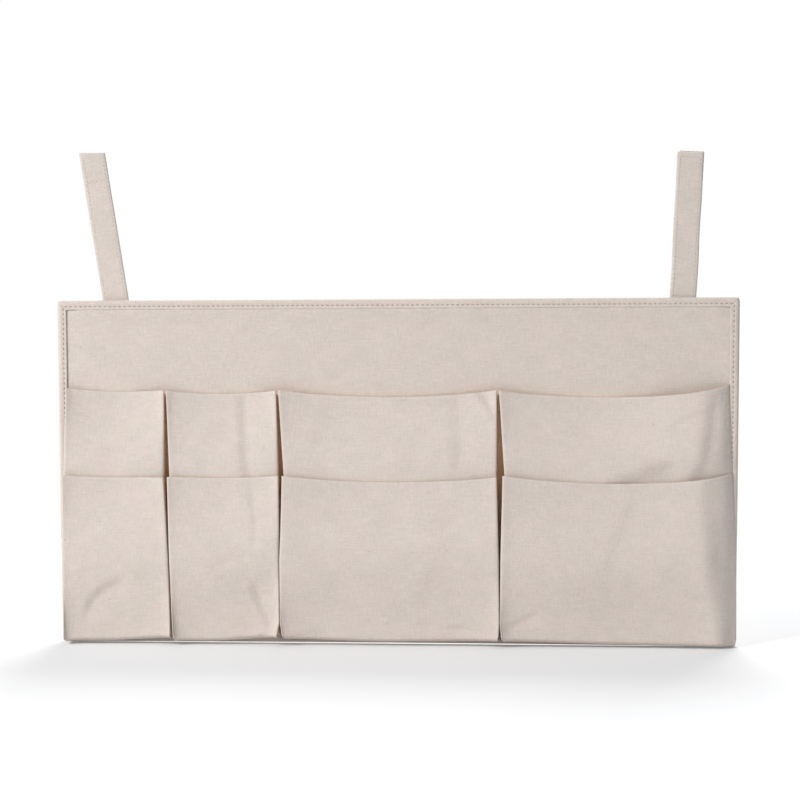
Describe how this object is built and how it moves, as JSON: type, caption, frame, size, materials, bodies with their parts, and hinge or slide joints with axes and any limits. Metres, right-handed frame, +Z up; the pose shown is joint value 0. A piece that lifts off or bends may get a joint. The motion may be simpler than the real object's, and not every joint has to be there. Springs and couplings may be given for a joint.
{
  "type": "hanging bedside pocket organiser",
  "caption": "Flat canvas organiser that hangs beside a bed: a stiffened, bound panel with two rows of pleated pockets and two straps that fold over a rail and close with hook and loop.",
  "frame": {"origin": "centre of the back cover's flat rear face, which rests against the side of the bed", "axes": "+X to the right as seen from the front, +Y out of the back towards the bed, +Z up; the pockets face -Y"},
  "size_m": [0.6, 0.0295, 0.4304],
  "materials": {
    "canvas": "unbleached cotton and linen canvas, plain weave, matt",
    "binding_tape": "the same canvas cut as binding, folded over the edge",
    "thread": "natural cotton sewing thread, slightly glossy",
    "greyboard": "matt pressed grey board, hidden between the covers",
    "hook": "nylon hook tape, fine stiff hooks",
    "loop": "brushed nylon loop tape, soft pile"
  },
  "bodies": {
    "panel": {"back_cover": "canvas", "stiffener_board": "greyboard", "front_cover": "canvas", "binding_top": "binding_tape", "binding_thread_top": "thread", "binding_left": "binding_tape", "binding_thread_left": "thread", "binding_bottom": "binding_tape", "binding_thread_bottom": "thread", "binding_right": "binding_tape", "binding_thread_right": "thread", "left_strap_tail": "canvas", "left_strap_loop_patch": "loop", "right_strap_tail": "canvas", "right_strap_loop_patch": "loop"},
    "tall_pocket_1": {"tall_pocket_1_front": "canvas", "tall_pocket_1_left_pleat": "canvas", "tall_pocket_1_right_pleat": "canvas", "tall_pocket_1_bottom_tuck": "canvas"},
    "tall_pocket_2": {"tall_pocket_2_front": "canvas", "tall_pocket_2_left_pleat": "canvas", "tall_pocket_2_right_pleat": "canvas", "tall_pocket_2_bottom_tuck": "canvas"},
    "tall_pocket_3": {"tall_pocket_3_front": "canvas", "tall_pocket_3_left_pleat": "canvas", "tall_pocket_3_right_pleat": "canvas", "tall_pocket_3_bottom_tuck": "canvas"},
    "tall_pocket_4": {"tall_pocket_4_front": "canvas", "tall_pocket_4_left_pleat": "canvas", "tall_pocket_4_right_pleat": "canvas", "tall_pocket_4_bottom_tuck": "canvas"},
    "front_pocket_1": {"front_pocket_1_front": "canvas", "front_pocket_1_left_pleat": "canvas", "front_pocket_1_right_pleat": "canvas", "front_pocket_1_bottom_tuck": "canvas"},
    "front_pocket_2": {"front_pocket_2_front": "canvas", "front_pocket_2_left_pleat": "canvas", "front_pocket_2_right_pleat": "canvas", "front_pocket_2_bottom_tuck": "canvas"},
    "front_pocket_3": {"front_pocket_3_front": "canvas", "front_pocket_3_left_pleat": "canvas", "front_pocket_3_right_pleat": "canvas", "front_pocket_3_bottom_tuck": "canvas"},
    "front_pocket_4": {"front_pocket_4_front": "canvas", "front_pocket_4_left_pleat": "canvas", "front_pocket_4_right_pleat": "canvas", "front_pocket_4_bottom_tuck": "canvas"},
    "left_strap_riser": {"left_strap_riser": "canvas"},
    "left_strap_bridge": {"left_strap_bridge": "canvas"},
    "left_strap_fall": {"left_strap_fall": "canvas"},
    "left_strap_tip": {"left_strap_tip": "canvas", "left_strap_hook_patch": "hook"},
    "right_strap_riser": {"right_strap_riser": "canvas"},
    "right_strap_bridge": {"right_strap_bridge": "canvas"},
    "right_strap_fall": {"right_strap_fall": "canvas"},
    "right_strap_tip": {"right_strap_tip": "canvas", "right_strap_hook_patch": "hook"}
  },
  "joints": [
    {"name": "tall_pocket_1_mouth", "type": "hinge", "parent": "panel", "child": "tall_pocket_1", "pos_m": [-0.25035, -0.0055, -0.148], "axis": [1, 0, 0], "range_deg": [0, 7], "stiffness_Nm_per_rad": 0.25},
    {"name": "tall_pocket_2_mouth", "type": "hinge", "parent": "panel", "child": "tall_pocket_2", "pos_m": [-0.1524, -0.0055, -0.148], "axis": [1, 0, 0], "range_deg": [0, 7], "stiffness_Nm_per_rad": 0.25},
    {"name": "tall_pocket_3_mouth", "type": "hinge", "parent": "panel", "child": "tall_pocket_3", "pos_m": [-0.00555, -0.0055, -0.148], "axis": [1, 0, 0], "range_deg": [0, 7], "stiffness_Nm_per_rad": 0.4},
    {"name": "tall_pocket_4_mouth", "type": "hinge", "parent": "panel", "child": "tall_pocket_4", "pos_m": [0.19285, -0.0055, -0.148], "axis": [1, 0, 0], "range_deg": [0, 7], "stiffness_Nm_per_rad": 0.4},
    {"name": "front_pocket_1_mouth", "type": "hinge", "parent": "tall_pocket_1", "child": "front_pocket_1", "pos_m": [-0.25035, -0.0158, -0.148], "axis": [1, 0, 0], "range_deg": [0, 10], "stiffness_Nm_per_rad": 0.25},
    {"name": "front_pocket_2_mouth", "type": "hinge", "parent": "tall_pocket_2", "child": "front_pocket_2", "pos_m": [-0.1524, -0.0158, -0.148], "axis": [1, 0, 0], "range_deg": [0, 10], "stiffness_Nm_per_rad": 0.25},
    {"name": "front_pocket_3_mouth", "type": "hinge", "parent": "tall_pocket_3", "child": "front_pocket_3", "pos_m": [-0.00555, -0.0158, -0.148], "axis": [1, 0, 0], "range_deg": [0, 10], "stiffness_Nm_per_rad": 0.4},
    {"name": "front_pocket_4_mouth", "type": "hinge", "parent": "tall_pocket_4", "child": "front_pocket_4", "pos_m": [0.19285, -0.0158, -0.148], "axis": [1, 0, 0], "range_deg": [0, 10], "stiffness_Nm_per_rad": 0.4},
    {"name": "left_strap_lean", "type": "hinge", "parent": "panel", "child": "left_strap_riser", "pos_m": [-0.25015, 0.002, 0.15297], "axis": [0.9886, 0, 0.1504], "range_deg": [-60, 80], "stiffness_Nm_per_rad": 0.012},
    {"name": "left_strap_fold", "type": "hinge", "parent": "left_strap_riser", "child": "left_strap_bridge", "pos_m": [-0.25391, 0.002, 0.17768], "axis": [-0.9886, 0, -0.1504], "range_deg": [0, 90], "stiffness_Nm_per_rad": 0.006},
    {"name": "left_strap_fold_over", "type": "hinge", "parent": "left_strap_bridge", "child": "left_strap_fall", "pos_m": [-0.258, 0.002, 0.20457], "axis": [-0.9886, 0, -0.1504], "range_deg": [0, 110], "stiffness_Nm_per_rad": 0.002},
    {"name": "left_strap_fold_tip", "type": "hinge", "parent": "left_strap_fall", "child": "left_strap_tip", "pos_m": [-0.26327, 0.002, 0.23917], "axis": [-0.9886, 0, -0.1504], "range_deg": [-20, 0], "stiffness_Nm_per_rad": 0.002},
    {"name": "right_strap_lean", "type": "hinge", "parent": "panel", "child": "right_strap_riser", "pos_m": [0.25135, 0.002, 0.153], "axis": [0.9988, 0, -0.0489], "range_deg": [-60, 80], "stiffness_Nm_per_rad": 0.012},
    {"name": "right_strap_fold", "type": "hinge", "parent": "right_strap_riser", "child": "right_strap_bridge", "pos_m": [0.25257, 0.002, 0.17797], "axis": [-0.9988, 0, 0.0489], "range_deg": [0, 90], "stiffness_Nm_per_rad": 0.006},
    {"name": "right_strap_fold_over", "type": "hinge", "parent": "right_strap_bridge", "child": "right_strap_fall", "pos_m": [0.2539, 0.002, 0.20513], "axis": [-0.9988, 0, 0.0489], "range_deg": [0, 110], "stiffness_Nm_per_rad": 0.002},
    {"name": "right_strap_fold_tip", "type": "hinge", "parent": "right_strap_fall", "child": "right_strap_tip", "pos_m": [0.25561, 0.002, 0.24009], "axis": [-0.9988, 0, 0.0489], "range_deg": [-20, 0], "stiffness_Nm_per_rad": 0.002}
  ],
  "couplings": [
    {"joint": "left_strap_fold_over", "follows": "left_strap_fold", "ratio": 1.1111},
    {"joint": "left_strap_fold_tip", "follows": "left_strap_fold", "ratio": -0.1111},
    {"joint": "right_strap_fold_over", "follows": "right_strap_fold", "ratio": 1.1111},
    {"joint": "right_strap_fold_tip", "follows": "right_strap_fold", "ratio": -0.1111}
  ]
}
